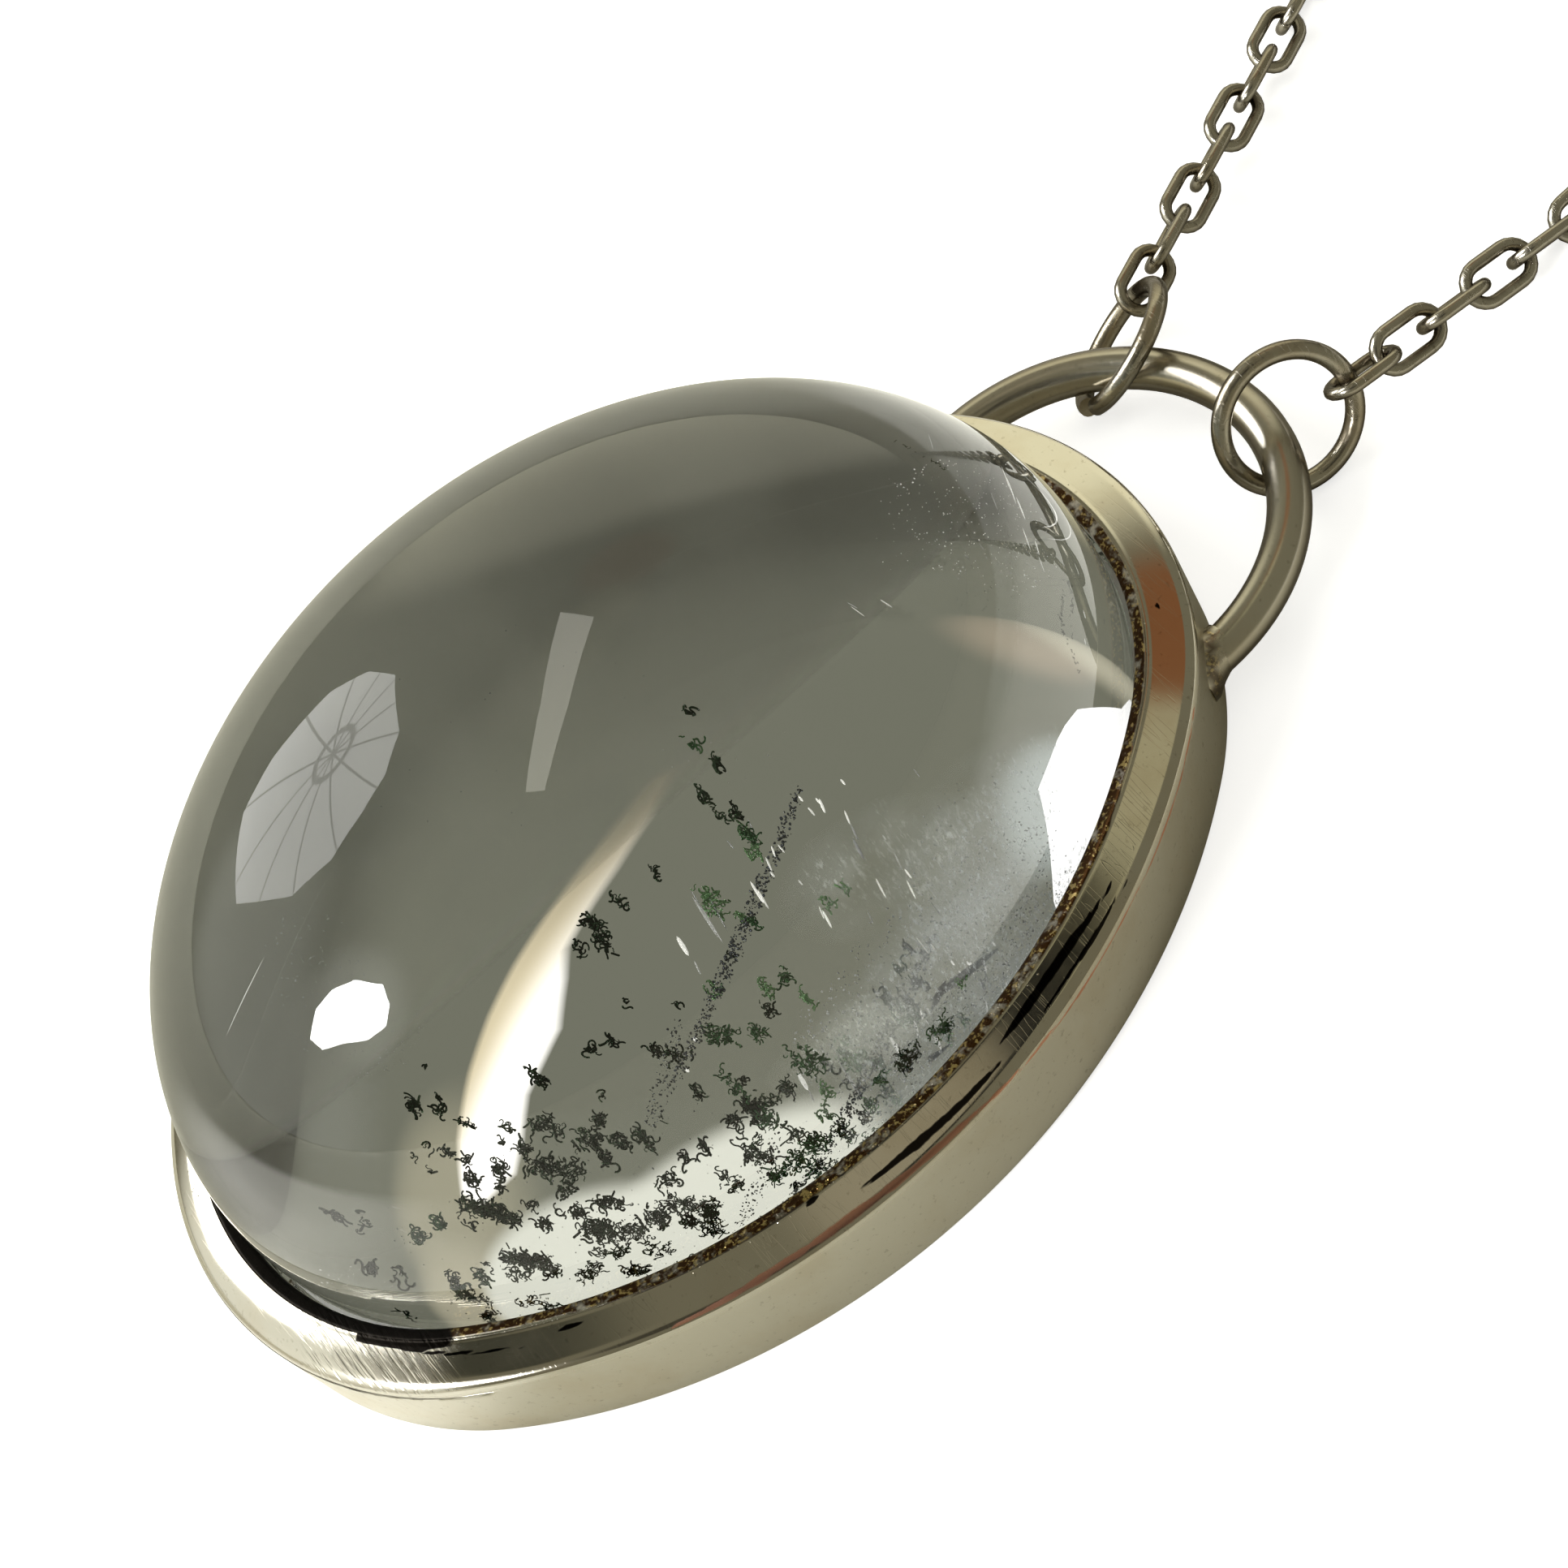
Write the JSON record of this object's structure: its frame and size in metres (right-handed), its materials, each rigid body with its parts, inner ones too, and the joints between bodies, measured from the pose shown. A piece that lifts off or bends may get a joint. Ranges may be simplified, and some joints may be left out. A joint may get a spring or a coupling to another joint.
{
  "type": "cabochon pendant necklace",
  "caption": "Necklace with a high oval quartz dome in a closed-back silver setting, hung by a wire loop and jump rings on a fine cable chain, laid flat.",
  "frame": {"origin": "middle of the flat back of the setting, on the surface that the necklace lies on", "axes": "+Z out of the stone, +Y from the pendant toward its loop and chain, +X toward the pendant's right side as seen from above with the loop up"},
  "size_m": [0.0929, 0.2428, 0.0193],
  "materials": {
    "silver_setting": "polished rim and loop, satin wall, light tarnish",
    "quartz": "polished clear quartz with dark green mineral clusters inside",
    "silver_rings": "polished round wire with light tarnish",
    "silver_chain": "polished wire links with darker tarnish between them",
    "silver_clasp": "polished with light tarnish"
  },
  "bodies": {
    "root": {"setting": "silver_setting", "stone": "quartz", "jump_ring_left": "silver_rings", "jump_ring_right": "silver_rings", "chain_left": "silver_chain", "chain_right": "silver_chain", "clasp": "silver_clasp"}
  },
  "joints": []
}
